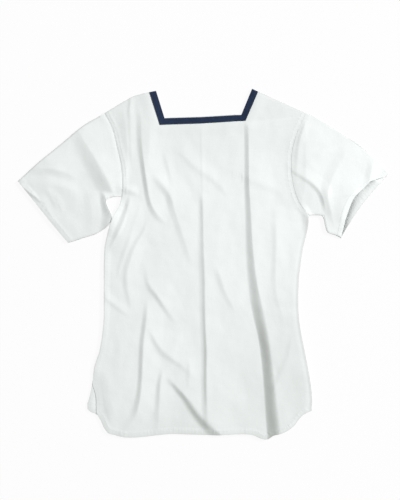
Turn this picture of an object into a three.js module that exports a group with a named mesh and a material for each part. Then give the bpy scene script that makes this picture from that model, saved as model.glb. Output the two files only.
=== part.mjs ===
// A square-necked, short-sleeved uniform shirt in white cotton drill, with navy tape round the neck.
// It lies on its back on a flat surface, front up, with its two panels on each other.
// Millimetres. +X runs to the viewer's right, +Y towards the neck and +Z up from the surface.
// The origin is under the middle of the whole garment. Left and right are the viewer's.
import * as THREE from 'three';

// Thicknesses and clearances
const CLOTH = 1.2;
const TAPE_THICKNESS = 0.8;
const SEAM_GAP = 0.3;
const HEM_EXTRA = 0.6;
const NECK_LIFT = TAPE_THICKNESS + SEAM_GAP;

// Widths of the tape and of the turned hems, and how far above a hem its step ends
const TAPE_WIDTH = 12.7;
const HEM_WIDTH = 10;
const HEM_STEP = 1.5;

// The front stands off the back by LOFT, reached within a few LOFT_REACH of an edge
const LOFT = 2.6;
const LOFT_REACH = 14;
const FOLD_FADE = 14;
const LIFT_FADE = 26;

// The back's neck edge shows this far above the front's
const BACK_NECK_SHOWS = 1.5;

// Sections across the body, from above the hem up to just under the neck tape.
// left, right: side seams, then armholes. guide: a line under the tape's left leg.
// centre: the pressed crease. foot, crest: the two sides of the long fold on the right.
const BODY = [
  // y,     left,   guide, centre,  foot,  crest,  right
  [-268.0, -214.4, -103.2,    7.4, 115.4,  151.2,  215.6],
  [-254.0, -217.2, -102.6,    7.0, 114.8,  149.6,  214.2],
  [-240.0, -222.6, -102.0,    6.8, 114.0,  148.0,  212.8],
  [-206.0, -219.4, -101.0,    7.0, 110.0,  143.0,  207.0],
  [-172.5, -207.8, -100.0,    7.6, 105.6,  137.6,  200.6],
  [-142.5, -202.8,  -99.0,    6.0, 100.0,  131.6,  194.4],
  [-112.5, -199.8,  -98.0,    4.6,  94.0,  125.6,  189.6],
  [ -82.5, -199.4,  -97.0,    3.8,  89.6,  119.6,  187.6],
  [ -52.5, -199.4,  -96.0,    4.0,  85.6,  113.6,  188.0],
  [ -22.5, -199.4,  -95.0,    4.6,  80.0,  109.6,  189.6],
  [   7.5, -199.4,  -94.0,    2.6,  77.6,  107.6,  193.8],
  [  35.5, -198.2,  -93.0,    1.6,  76.0,  103.6,  198.0],
  [  57.5, -193.0,  -92.0,    1.0,  74.6,  100.6,  204.4],
  [  75.5, -188.9,  -91.5,    0.6,  74.0,   98.6,  208.0],
  [  98.5, -180.4,  -91.0,   -0.4,  73.6,   96.6,  209.6],
  [ 117.5, -168.4,  -90.0,   -0.4,  73.8,   95.6,  192.8],
  [ 135.5, -163.9,  -89.6,   -0.8,  74.6,   94.6,  184.4],
  [ 155.5, -161.4,  -89.2,   -1.4,  75.0,   93.6,  178.4],
  [ 179.5, -162.0,  -88.8,   -3.0,  75.4,   93.6,  174.6],
  [ 203.5, -165.2,  -88.4,   -4.0,  75.2,   93.6,  173.8],
  [ 227.5, -171.2,  -88.2,   -4.2,  74.2,   92.6,  175.8],
  [ 249.5, -176.0,  -88.0,   -4.4,  72.8,   90.6,  181.6],
  [ 267.0, -180.6,  -87.6,   -4.4,  71.2,   87.6,  187.4],
];
const ROW_RIGHT_ARMPIT = 98.5;
const ROW_LEFT_ARMPIT = 135.5;

// Neck and shoulders: the row along the lower edge of the tape, then the shoulder line
const UNDER_TAPE = {
  left: [-184.6, 276.0], outerLeft: [-87.4, 278.1], innerLeft: [-74.2, 278.9], centre: [-4.4, 281.2],
  innerRight: [69.8, 285.9], outerRight: [83.6, 286.5], right: [191.6, 276.0],
};
const SHOULDER = {
  left: [-198.4, 301.5], outerLeft: [-108.4, 343.5], innerLeft: [-95.2, 346.3], centre: [0, 348.0],
  innerRight: [96.6, 350.5], outerRight: [108.6, 344.5], right: [203.6, 301.5],
};
const SHOULDER_LEFT = [[-198.4, 301.5], [-167.0, 320.8], [-142.8, 334.8], [-126.4, 340.0], [-95.2, 346.3]];
const SHOULDER_RIGHT = [[96.6, 350.5], [108.6, 344.5], [203.6, 301.5]];
// How far up from the tape's lower edge to the shoulder each neck row lies
const NECK_ROWS = [0, 0.19, 0.4, 0.6, 0.8, 1];
// Rows between the hem's step and the lowest section, as shares of the way
const BETWEEN_ROWS = [0.3, 0.65];

// Hems as points from left to right
const FRONT_HEM = [
  [-214.4, -297.5], [-208.4, -306.5], [-204.4, -314.5], [-201.4, -322.5], [-196.4, -332.5],
  [-190.4, -338.5], [-178.0, -340.5], [-166.4, -344.5], [-152.4, -346.5], [-126.4, -345.5],
  [-86.4, -340.5], [-66.4, -338.5], [23.6, -341.5], [85.6, -338.5], [97.6, -340.5],
  [107.6, -345.5], [119.6, -350.5], [127.6, -350.5], [133.6, -346.5], [139.0, -341.0],
  [147.6, -339.5], [159.6, -335.5], [171.6, -328.5], [181.6, -320.5], [187.6, -310.5],
  [193.6, -302.5], [203.6, -295.5], [214.6, -291.5],
];
const BACK_HEM = [
  [-232.4, -289.0], [-230.4, -292.5], [-222.4, -296.5], [-212.0, -299.5], [-200.0, -312.0],
  [-188.0, -331.0], [-166.0, -340.0], [-86.4, -336.5], [0, -335.5], [86.0, -334.5],
  [146.0, -334.0], [171.6, -323.5], [187.6, -306.0], [203.6, -291.5], [214.6, -289.0],
];
// Where the back's left side shows beside the front's, low down
const BACK_LEFT_SIDE = [[-268.0, -228.8], [-254.0, -225.8], [-240.0, -222.6]];

// Columns between the guide lines of a section, and how much closer they crowd at the side seams
const COLUMNS = { side: 11, tape: 1, left: 7, right: 6, flank: 3, rightSide: 9 };
const CROWDING = 1.5;

// Sleeves as sections from the armhole to the hem. top and bottom are the folded upper edge and
// the underarm edge. bow: how far the section bends towards the body between them, most where
// its share of the way down, raised to BOW_LOW, is a half.
// drawn: how far the upper layer stands back from the lower one, at the open right cuff.
const BOW_LOW = { left: 2.2, right: 1 };
const SLEEVE_LEFT = [
  // top x,  top y, bottom x, bottom y, bow, drawn
  [-208.6, 294.8, -180.4, 136.5,  9.0, 0],
  [-218.0, 289.8, -196.2, 130.0, -9.0, 0],
  [-227.6, 285.2, -193.2, 118.0, -14.0, 0],
  [-236.2, 279.3, -186.6, 105.5, -16.0, 0],
  [-244.3, 273.6, -181.8,  96.0, -16.0, 0],
  [-255.3, 265.0, -189.8,  76.0, -12.0, 0],
  [-268.3, 253.7, -204.4,  67.4, -8.0, 0],
  [-282.3, 241.8, -216.4,  60.0, -5.0, 0],
  [-298.3, 228.8, -230.4,  56.0, -3.0, 0],
  [-315.3, 215.3, -243.4,  52.4, -1.5, 0],
  [-333.2, 200.6, -255.0,  48.0,  -1, 0],
];
const SLEEVE_LEFT_HEM = [-371.0, 165.5, -271.4, 43.5, -1.6, 0];
const SLEEVE_RIGHT = [
  [ 215.0, 296.6,  221.6,  98.9, 24.0, 0],
  [ 227.0, 291.3,  233.4,  98.6, 18.0, 0],
  [ 240.0, 283.1,  238.4,  97.0, 12.0, 0],
  [ 254.0, 274.1,  241.2,  87.0,  8.0, 0],
  [ 268.0, 265.1,  243.0,  76.5,  4.0, 0],
  [ 282.0, 256.0,  245.8,  66.5,  2.0, 0],
  [ 296.0, 247.0,  249.8,  62.2,  2.0, 0],
  [ 310.0, 238.0,  256.0,  60.9,  3.0, 1],
  [ 322.0, 227.4,  262.0,  59.0,  5.0, 2],
  [ 334.0, 216.6,  267.0,  56.6,  7.0, 4],
  [ 345.0, 207.2,  270.6,  55.2,  9.0, 7],
];
const SLEEVE_RIGHT_HEM = [371.0, 181.5, 274.4, 52.5, 8.0, 12];

// Folds, each along its crest. Walking the rows in order, the steep flank is on the right hand.
const FOLDS = {
  longRight: [
    // x,      y,   height, steep, gentle
    [  88.0,  282.0, 0.0, 16, 60],
    [  92.6,  240.0, 2.4, 18, 70],
    [  93.6,  157.5, 3.2, 18, 76],
    [  97.6,   87.5, 3.8, 22, 80],
    [ 105.6,   27.5, 4.4, 29, 76],
    [ 109.6,  -22.5, 5.4, 30, 70],
    [ 117.6,  -72.5, 6.4, 28, 62],
    [ 127.6, -122.5, 7.8, 30, 56],
    [ 137.6, -172.5, 9.0, 31, 56],
    [ 145.6, -222.5, 9.8, 31, 58],
    [ 151.6, -272.5, 10.4, 36, 54],
    [ 155.6, -312.5, 10.6, 38, 50],
    [ 157.6, -344.5, 10.4, 38, 46],
  ],
  centreCrease: [
    [  -1.4,  155.0, 0.0, 14, 30],
    [  -0.4,  117.5, 1.2, 18, 34],
    [   1.6,   27.5, 2.2, 20, 40],
    [   4.6,  -22.5, 2.6, 24, 40],
    [   4.6, -112.5, 3.0, 22, 44],
    [   7.6, -172.5, 3.4, 22, 44],
    [   7.0, -222.5, 2.8, 18, 40],
    [   7.6, -282.0, 1.6, 16, 30],
    [   8.0, -306.0, 0.0, 16, 20],
  ],
  lowerLeft: [
    [-107.4,  -66.0, 0.0, 18, 26],
    [-110.4, -122.5, 2.8, 21, 30],
    [-117.4, -172.5, 3.6, 20, 32],
    [-119.4, -222.5, 3.6, 18, 32],
    [-124.4, -272.5, 3.2, 20, 30],
    [-134.4, -312.5, 2.0, 24, 26],
    [-150.0, -344.0, 0.8, 26, 26],
  ],
  lowerDiagonal: [
    [ -66.4, -206.0, 0.0, 20, 36],
    [ -44.4, -242.5, 2.8, 24, 44],
    [ -22.4, -268.5, 4.8, 28, 48],
    [   1.6, -288.5, 6.0, 32, 50],
    [  21.6, -308.5, 6.4, 36, 50],
    [  38.0, -344.0, 5.0, 40, 50],
  ],
  lowerInner: [
    [ -84.0, -160.0, 0.0, 16, 30],
    [ -82.0, -212.0, 1.8, 22, 30],
    [ -86.0, -272.0, 1.6, 20, 26],
    [ -88.0, -330.0, 0.6, 20, 26],
  ],
  chestLeft: [
    [-120.4,  330.0, 0.0, 14, 14],
    [-114.4,  287.5, 2.2, 22, 18],
    [-112.4,  257.5, 2.4, 24, 18],
    [-111.4,  227.5, 3.4, 22, 20],
    [-107.4,  171.5, 5.0, 20, 22],
    [-104.4,  143.5, 5.0, 20, 20],
    [ -94.4,  111.5, 3.6, 24, 18],
    [ -84.4,   88.0, 0.0, 24, 16],
  ],
  chestDiagonal: [
    [ -94.4,  190.0, 0.0, 20, 30],
    [ -78.4,  161.5, 2.2, 26, 34],
    [ -52.4,  121.5, 2.6, 28, 44],
    [ -42.4,   91.5, 2.2, 26, 44],
    [ -32.4,   57.5, 1.6, 22, 40],
    [ -26.4,   20.0, 0.0, 20, 30],
  ],
  armpitLeft: [
    [-142.4,  136.0, 0.0, 12, 10],
    [-148.4,  107.5, 3.2, 18, 16],
    [-160.4,   77.5, 3.2, 18, 16],
    [-174.4,   47.5, 2.0, 16, 16],
    [-187.4,   20.0, 0.0, 14, 14],
  ],
  waistLeft: [
    [-108.0,   86.0, 0.0, 14, 24],
    [-128.4,   45.5, 1.8, 16, 30],
    [-137.4,   21.5, 2.4, 16, 32],
    [-144.4,  -20.5, 2.6, 16, 32],
    [-142.4,  -72.0, 0.0, 16, 26],
  ],
  waistInner: [
    [-102.4,  -42.5, 0.0, 18, 26],
    [ -86.4,  -72.5, 2.2, 20, 32],
    [ -74.4, -100.5, 2.2, 20, 30],
    [ -50.0, -140.0, 0.0, 18, 26],
  ],
  sleeveLeftLong: [
    [-236.0,  266.0, 0.0, 30, 20],
    [-216.0,  240.0, 4.6, 40, 24],
    [-203.4,  213.5, 6.2, 44, 26],
    [-190.4,  179.5, 7.0, 42, 28],
    [-184.4,  155.5, 6.0, 34, 24],
    [-196.0,  138.0, 5.0, 26, 14],
    [-202.0,  120.0, 6.0, 24, 12],
    [-197.0,   98.0, 6.4, 24, 12],
    [-203.0,   80.0, 4.6, 22, 12],
  ],
  sleeveLeftAcross: [
    [-352.0,  184.0, 0.0, 12, 30],
    [-314.4,  190.5, 3.2, 16, 44],
    [-278.4,  183.5, 2.8, 14, 44],
    [-244.4,  165.5, 0.0, 12, 30],
  ],
  sleeveRightLong: [
    [ 280.0,  206.0, 0.0, 18, 24],
    [ 268.6,  167.5, 2.4, 22, 30],
    [ 265.6,  117.5, 5.0, 28, 30],
    [ 262.6,   83.5, 5.0, 26, 26],
    [ 262.0,   66.0, 3.0, 20, 20],
  ],
  sleeveRightArmpit: [
    [ 190.0,  176.0, 0.0, 10, 20],
    [ 211.6,  172.5, 2.2, 14, 24],
    [ 227.6,  159.5, 2.8, 14, 26],
    [ 239.6,  137.5, 2.8, 16, 24],
    [ 246.6,  112.0, 0.0, 16, 20],
  ],
  cuffRight: [
    [ 282.0,  190.0, 0.0, 40, 40],
    [ 300.0,  160.0, 2.0, 44, 44],
    [ 314.0,  138.0, 3.4, 48, 48],
  ],
};

const drill = new THREE.MeshStandardMaterial({ color: 0xe9ecea, roughness: 0.9, metalness: 0 });
const tape = new THREE.MeshStandardMaterial({ color: 0x2a3c5e, roughness: 0.85, metalness: 0 });

const mix = (a, b, t) => a + (b - a) * t;
const mixPoint = (a, b, t) => [mix(a[0], b[0], t), mix(a[1], b[1], t)];
const clamp01 = (t) => Math.min(1, Math.max(0, t));
const smooth = (t) => clamp01(t) ** 2 * (3 - 2 * clamp01(t));

// The second value of a table at a place between the first values of its rows
function lookUp(table, at) {
  for (let i = 1; i < table.length; i += 1) {
    const [from, to] = [table[i - 1], table[i]];
    if (at <= to[0] || i === table.length - 1) {
      return mix(from[1], to[1], clamp01((at - from[0]) / (to[0] - from[0])));
    }
  }
  return table[0][1];
}

// Where a point lies beside one straight piece of a line: how far along, how far off, which side
function beside(from, to, x, y) {
  const run = [to[0] - from[0], to[1] - from[1]];
  const lengthSquared = run[0] ** 2 + run[1] ** 2;
  const along = clamp01(((x - from[0]) * run[0] + (y - from[1]) * run[1]) / lengthSquared);
  const off = [x - from[0] - along * run[0], y - from[1] - along * run[1]];
  return { along, distance: Math.hypot(off[0], off[1]), rightHand: run[0] * off[1] - run[1] * off[0] < 0 };
}

function distanceTo(lines, x, y) {
  let nearest = Infinity;
  for (const line of lines) {
    for (let i = 1; i < line.length; i += 1) {
      nearest = Math.min(nearest, beside(line[i - 1], line[i], x, y).distance);
    }
  }
  return nearest;
}

// A fold rises from its foot to the crest on both sides, steeply on the right hand of its path
function foldHeight(fold, x, y) {
  let best = { distance: Infinity };
  for (let i = 1; i < fold.length; i += 1) {
    const place = beside(fold[i - 1], fold[i], x, y);
    if (place.distance < best.distance) best = { ...place, from: fold[i - 1], to: fold[i] };
  }
  const value = (column) => mix(best.from[column], best.to[column], best.along);
  const reach = best.rightHand ? value(3) : value(4);
  return value(2) * smooth(1 - best.distance / reach);
}

// Rows of the two body panels, as the points on each guide line
const GUIDES = ['left', 'outerLeft', 'innerLeft', 'centre', 'innerRight', 'outerRight', 'right'];

function bodyRow([y, left, guide, centre, foot, crest, right]) {
  const xs = [left, guide, guide + TAPE_WIDTH, centre, foot, crest, right];
  return xs.map((x) => [x, y]);
}

function hemRow(hem, above) {
  const lowest = BODY[0];
  const xs = bodyRow(lowest).map(([x]) => x);
  xs[0] = hem[0][0];
  xs[xs.length - 1] = hem[hem.length - 1][0];
  return xs.map((x) => [x, lookUp(hem, x) + above]);
}

function neckRow(share) {
  return GUIDES.map((name) => mixPoint(UNDER_TAPE[name], SHOULDER[name], share));
}

// Places of the columns along a row, as a guide line's number and the share of the way to the next
function columnPlaces() {
  const places = [];
  const counts = [COLUMNS.side, COLUMNS.tape, COLUMNS.left, COLUMNS.right, COLUMNS.flank, COLUMNS.rightSide];
  counts.forEach((count, guide) => {
    for (let i = 0; i < count; i += 1) {
      let share = i / count;
      if (guide === 0) share **= CROWDING;
      if (guide === counts.length - 1) share = 1 - (1 - share) ** CROWDING;
      places.push({ guide, share });
    }
  });
  places.push({ guide: counts.length - 1, share: 1 });
  return places;
}

const PLACES = columnPlaces();
const columnOfGuide = (guide) => PLACES.findIndex((place) => place.guide === guide && place.share === 0);
const COLUMN = {
  outerLeft: columnOfGuide(1), innerLeft: columnOfGuide(2),
  innerRight: columnOfGuide(4), outerRight: columnOfGuide(5), last: PLACES.length - 1,
};

const spread = (row) => PLACES.map(({ guide, share }) => mixPoint(row[guide], row[guide + 1], share));

// The whole grid of a panel: hem, sections of the body, then the neck rows up to the shoulders
function panelGrid(hem, sections, leftSide, neckShows) {
  const hemRows = [0, HEM_WIDTH, HEM_WIDTH + HEM_STEP].map((above) => {
    const row = spread(hemRow(hem, above));
    return row.map(([x]) => [x, lookUp(hem, x) + above]);
  });
  const bodyRows = sections.map((section) => {
    const row = bodyRow(section);
    const y = section[0];
    if (leftSide && y <= leftSide[leftSide.length - 1][0]) row[0] = [lookUp(leftSide, y), y];
    return spread(row);
  });
  const stepRow = hemRows[hemRows.length - 1];
  const betweenRows = BETWEEN_ROWS.map((share) => (
    stepRow.map((point, column) => mixPoint(point, bodyRows[0][column], share))
  ));
  const bottom = spread(neckRow(0));
  const top = spread(neckRow(1)).map(([x, y], column) => {
    if (column <= COLUMN.innerLeft) return [x, lookUp(SHOULDER_LEFT, x)];
    if (column >= COLUMN.innerRight) return [x, lookUp(SHOULDER_RIGHT, x)];
    return [x, y];
  });
  const neckRows = NECK_ROWS.map((share, row) => bottom.map((point, column) => {
    const place = mixPoint(point, top[column], share);
    const inNeck = column > COLUMN.innerLeft && column < COLUMN.innerRight;
    return row === 1 && inNeck ? [place[0], point[1] + TAPE_WIDTH + neckShows] : place;
  }));
  return [...hemRows, ...betweenRows, ...bodyRows, ...neckRows];
}

const frontGrid = panelGrid(FRONT_HEM, BODY, null, 0);
const backGrid = panelGrid(BACK_HEM, BODY, BACK_LEFT_SIDE, BACK_NECK_SHOWS);
const firstNeckRow = (grid) => grid.length - NECK_ROWS.length;

const panelCell = (grid) => (row, column) => {
  const aboveTapeBar = row > firstNeckRow(grid);
  return !(aboveTapeBar && column >= COLUMN.innerLeft && column < COLUMN.innerRight);
};

const tapeCell = (grid) => (row, column) => {
  const bar = row === firstNeckRow(grid) && column >= COLUMN.outerLeft && column < COLUMN.outerRight;
  const leftLeg = column >= COLUMN.outerLeft && column < COLUMN.innerLeft;
  const rightLeg = column >= COLUMN.innerRight && column < COLUMN.outerRight;
  return bar || (row > firstNeckRow(grid) && (leftLeg || rightLeg));
};

// An armhole is the panel's own edge from the armpit up to the shoulder
const FIRST_BODY_ROW = 3 + BETWEEN_ROWS.length;
function armhole(grid, sections, column, armpitY) {
  const start = FIRST_BODY_ROW + sections.findIndex(([y]) => y === armpitY);
  return grid.slice(start).map((row) => row[column]).reverse();
}

const armholeLeft = armhole(frontGrid, BODY, 0, ROW_LEFT_ARMPIT);
const armholeRight = armhole(frontGrid, BODY, COLUMN.last, ROW_RIGHT_ARMPIT);

// A sleeve's plan: for each section, points from its upper edge to its underarm edge.
// The first section follows the armhole, SEAM_GAP away from it.
function sleevePlan(hole, sections, towardsBody, bowLow) {
  const [first, last] = [hole[0], hole[hole.length - 1]];
  const chord = [last[0] - first[0], last[1] - first[1]];
  const shares = hole.map((point) => (point[1] - first[1]) / chord[1]);
  const outAtHole = -towardsBody * SEAM_GAP * 1.3;
  const plan = [hole.map(([x, y]) => [x + outAtHole, y])];
  for (const [topX, topY, bottomX, bottomY, bow] of sections) {
    plan.push(shares.map((share) => {
      const [x, y] = mixPoint([topX, topY], [bottomX, bottomY], share);
      return [x + towardsBody * bow * Math.sin(Math.PI * share ** bowLow), y];
    }));
  }
  return plan;
}

// A sleeve's sections with its hem, and two more at the turned hem's stitching and its step
function withHem(sections, hem) {
  const before = sections[sections.length - 1];
  const length = Math.hypot(hem[0] - before[0], hem[1] - before[1]);
  const inside = [HEM_WIDTH + HEM_STEP, HEM_WIDTH].map((back) => (
    hem.map((value, column) => mix(value, before[column], back / length))
  ));
  return [...sections, ...inside, hem];
}

const sectionsLeft = withHem(SLEEVE_LEFT, SLEEVE_LEFT_HEM);
const sectionsRight = withHem(SLEEVE_RIGHT, SLEEVE_RIGHT_HEM);
const planLeft = sleevePlan(armholeLeft, sectionsLeft, 1, BOW_LOW.left);
const planRight = sleevePlan(armholeRight, sectionsRight, -1, BOW_LOW.right);

// Edges where the front meets what lies under it, and edges that stand free
const edgeOf = (plan, place) => plan.map((section) => section[place]);
const rowLine = (grid, row, from, to) => grid[row].slice(from, to + 1);
const sideLine = (grid, column, from, to) => grid.slice(from, to + 1).map((row) => row[column]);
const topRow = frontGrid.length - 1;
const tapeTop = firstNeckRow(frontGrid) + 1;
const closedEdges = [
  sideLine(frontGrid, 0, 0, FIRST_BODY_ROW + BODY.findIndex(([y]) => y === ROW_LEFT_ARMPIT)),
  sideLine(frontGrid, COLUMN.last, 0, FIRST_BODY_ROW + BODY.findIndex(([y]) => y === ROW_RIGHT_ARMPIT)),
  rowLine(frontGrid, topRow, 0, COLUMN.innerLeft),
  rowLine(frontGrid, topRow, COLUMN.innerRight, COLUMN.last),
  sideLine(frontGrid, COLUMN.innerLeft, tapeTop, topRow),
  rowLine(frontGrid, tapeTop, COLUMN.innerLeft, COLUMN.innerRight),
  sideLine(frontGrid, COLUMN.innerRight, tapeTop, topRow),
  ...[planLeft, planRight].flatMap((plan) => [edgeOf(plan, 0), edgeOf(plan, plan[0].length - 1)]),
];
const openEdges = [frontGrid[0], planLeft[planLeft.length - 1], planRight[planRight.length - 1]];
const tapeLines = [
  sideLine(frontGrid, COLUMN.innerLeft, tapeTop, topRow),
  rowLine(frontGrid, tapeTop, COLUMN.innerLeft, COLUMN.innerRight),
  sideLine(frontGrid, COLUMN.innerRight, tapeTop, topRow),
];

// How far the upper layer stands above the place where it would lie on the lower one
function rise(x, y) {
  const toClosed = distanceTo(closedEdges, x, y);
  const toEdge = Math.min(toClosed, distanceTo(openEdges, x, y));
  const loft = LOFT * (1 - Math.exp(-toEdge / LOFT_REACH));
  const folds = Object.values(FOLDS).reduce((sum, fold) => sum + foldHeight(fold, x, y), 0);
  return loft + folds * smooth(toClosed / FOLD_FADE);
}

// The back rises over the tape sewn to its underside
function neckLift(x, y) {
  const beyondTape = distanceTo(tapeLines, x, y) - TAPE_WIDTH - 2;
  return NECK_LIFT * smooth(1 - beyondTape / LIFT_FADE);
}

// A closed wall over the cells of a grid that are cloth, between two heights at every point
function wallGeometry(grid, isCloth, under, over) {
  const positions = [];
  const triangles = [];
  const numbers = new Map();
  const vertex = (row, column, upper) => {
    const key = `${row} ${column} ${upper}`;
    if (!numbers.has(key)) {
      const [x, y] = grid[row][column];
      numbers.set(key, numbers.size);
      positions.push(x, y, (upper ? over : under)(x, y, row, column));
    }
    return numbers.get(key);
  };
  const cloth = (row, column) => row >= 0 && column >= 0 && row < grid.length - 1
    && column < grid[0].length - 1 && isCloth(row, column);
  const rim = ([r1, c1], [r2, c2]) => {
    const [p, q] = [vertex(r1, c1, true), vertex(r2, c2, true)];
    const [pUnder, qUnder] = [vertex(r1, c1, false), vertex(r2, c2, false)];
    triangles.push(p, pUnder, qUnder, p, qUnder, q);
  };
  for (let row = 0; row < grid.length - 1; row += 1) {
    for (let column = 0; column < grid[0].length - 1; column += 1) {
      if (!cloth(row, column)) continue;
      const corners = [[row, column], [row, column + 1], [row + 1, column + 1], [row + 1, column]];
      const [a, b, c, d] = corners.map(([r, k]) => vertex(r, k, true));
      triangles.push(a, b, c, a, c, d);
      const [e, f, g, h] = corners.map(([r, k]) => vertex(r, k, false));
      triangles.push(e, g, f, e, h, g);
      const neighbours = [[row - 1, column], [row, column + 1], [row + 1, column], [row, column - 1]];
      neighbours.forEach(([r, k], side) => {
        if (!cloth(r, k)) rim(corners[side], corners[(side + 1) % 4]);
      });
    }
  }
  return indexed(positions, triangles);
}

// A closed wall between an outer and an inner skin, each a list of rings, open at both ends
function tubeGeometry(outer, inner, turned) {
  const ringSize = outer[0].length;
  const innerStart = outer.length * ringSize;
  const positions = [...outer, ...inner].flat(2);
  const triangles = [];
  const quad = (a, b, c, d) => {
    if (turned) triangles.push(a, c, b, a, d, c);
    else triangles.push(a, b, c, a, c, d);
  };
  const at = (start, ring, i) => start + ring * ringSize + (i % ringSize);
  for (let i = 0; i < ringSize; i += 1) {
    for (let ring = 0; ring < outer.length - 1; ring += 1) {
      quad(at(0, ring, i), at(0, ring, i + 1), at(0, ring + 1, i + 1), at(0, ring + 1, i));
      quad(
        at(innerStart, ring, i), at(innerStart, ring + 1, i),
        at(innerStart, ring + 1, i + 1), at(innerStart, ring, i + 1),
      );
    }
    const end = outer.length - 1;
    quad(at(0, 0, i), at(innerStart, 0, i), at(innerStart, 0, i + 1), at(0, 0, i + 1));
    quad(at(0, end, i), at(0, end, i + 1), at(innerStart, end, i + 1), at(innerStart, end, i));
  }
  return indexed(positions, triangles);
}

function indexed(positions, triangles) {
  const geometry = new THREE.BufferGeometry();
  geometry.setAttribute('position', new THREE.Float32BufferAttribute(positions, 3));
  geometry.setIndex(triangles);
  geometry.computeVertexNormals();
  return geometry;
}

// A sleeve: its lower layer lies flat, its upper layer rises with the folds, both edges are closed
function sleeve(plan, sections, towardsBody) {
  const drawn = [0, ...sections.map((section) => section[5])];
  const last = plan[0].length - 1;
  const forwards = plan[0].map((_, i) => i);
  const backwards = [...forwards].reverse();
  const rings = { outer: [], inner: [] };
  // The inner skin ends CLOTH short of the closed edges
  const inset = (points, i) => {
    if (i > 0 && i < last) return points[i];
    const next = points[i === 0 ? 1 : last - 1];
    return mixPoint(points[i], next, CLOTH / Math.hypot(next[0] - points[i][0], next[1] - points[i][1]));
  };
  plan.forEach((lower, ring) => {
    const hemThickness = ring >= plan.length - 2 ? HEM_EXTRA : 0;
    const back = (i) => towardsBody * drawn[ring] * Math.sin(Math.PI * (i / last));
    const upper = lower.map(([x, y], i) => [x + back(i), y]);
    const underUpper = upper.map(([x, y]) => CLOTH + SEAM_GAP + rise(x, y));
    rings.outer.push([
      ...forwards.map((i) => [...upper[i], underUpper[i] + CLOTH + hemThickness]),
      ...backwards.map((i) => [...lower[i], 0]),
    ]);
    rings.inner.push([
      ...forwards.map((i) => [...inset(upper, i), underUpper[i]]),
      ...backwards.map((i) => [...inset(lower, i), CLOTH]),
    ]);
  });
  return tubeGeometry(rings.outer, rings.inner, towardsBody > 0);
}

const backUnder = (x, y) => neckLift(x, y);
const backOver = (x, y) => CLOTH + neckLift(x, y);
const frontUnder = (x, y) => CLOTH + SEAM_GAP + neckLift(x, y) + rise(x, y);
const frontOver = (x, y, row) => frontUnder(x, y) + CLOTH + (row <= 1 ? HEM_EXTRA : 0);
const tapeUnder = (x, y) => frontUnder(x, y) + CLOTH + SEAM_GAP;
const tapeOver = (x, y) => tapeUnder(x, y) + TAPE_THICKNESS;

const shirt = new THREE.Group();

function add(name, geometry, material) {
  const mesh = new THREE.Mesh(geometry, material);
  mesh.name = name;
  shirt.add(mesh);
}

add('back', wallGeometry(backGrid, panelCell(backGrid), backUnder, backOver), drill);
add('front', wallGeometry(frontGrid, panelCell(frontGrid), frontUnder, frontOver), drill);
add('sleeve_left', sleeve(planLeft, sectionsLeft, 1), drill);
add('sleeve_right', sleeve(planRight, sectionsRight, -1), drill);
add('neck_tape_front', wallGeometry(frontGrid, tapeCell(frontGrid), tapeUnder, tapeOver), tape);
add('neck_tape_back', wallGeometry(backGrid, tapeCell(backGrid), () => 0, () => TAPE_THICKNESS), tape);

export default shirt;
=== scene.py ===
import math

import bpy
import numpy as np
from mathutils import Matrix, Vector, noise


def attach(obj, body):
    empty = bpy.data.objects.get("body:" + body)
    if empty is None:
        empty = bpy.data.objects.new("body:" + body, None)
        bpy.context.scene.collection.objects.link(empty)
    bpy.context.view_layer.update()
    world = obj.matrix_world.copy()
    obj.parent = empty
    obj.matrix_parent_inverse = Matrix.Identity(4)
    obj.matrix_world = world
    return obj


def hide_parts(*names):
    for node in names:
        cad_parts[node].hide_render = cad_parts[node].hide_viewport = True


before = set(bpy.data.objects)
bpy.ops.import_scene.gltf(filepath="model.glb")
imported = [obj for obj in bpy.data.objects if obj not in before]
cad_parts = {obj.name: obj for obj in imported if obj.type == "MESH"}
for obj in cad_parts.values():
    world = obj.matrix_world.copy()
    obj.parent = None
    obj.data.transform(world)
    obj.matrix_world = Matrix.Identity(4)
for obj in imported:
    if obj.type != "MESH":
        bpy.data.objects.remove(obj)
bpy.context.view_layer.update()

# Front panel
# One piece of white cotton drill with a square neck and a turned, curved hem. It lies on the back,
# held off it by a little air, with the folds that pressing, packing and laying down have left.
MM = 0.001
# The cloth's thickness, and the height of the upper layer's outside where it has no loft
CLOTH, FRONT_BASE = 0.9, 2.7
# The upper layer's loft over its base, and the share of it that is lost at each open edge
LOFT, LOFT_REACH = 2.4, 20
NECK_FALL, HEM_FALL, LEFT_CUFF_FALL, RIGHT_CUFF_FALL = 1.0, 0.45, 0.25, 1.0
# Folds run out this near the neck, and a little at turned edges
FOLD_FADE = 14
# A turned hem: its width, the slope beside it, and how much it stands up
HEM_WIDTH, HEM_STEP, HEM_EXTRA = 10, 3, 0.06
# The cells at the sides and at the hem are halved where they are longer than this
LONGEST_SIDE_CELL, LONGEST_HEM_CELL = 13, 12

# Where the front's outline turns, in order round it from the left end of the hem
FRONT_TURNS = {
    "hem": (-214.4, -297.5), "side_right": (214.6, -291.5), "armhole_right": (209.6, 98.5),
    "shoulder_right": (203.6, 301.5), "neck": (96.6, 350.5), "shoulder_left": (-95.2, 346.3),
    "armhole_left": (-198.4, 301.5), "side_left": (-163.9, 135.5),
}
NECK_CORNERS = [(-78.0, 291.7), (75.0, 298.2)]

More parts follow.
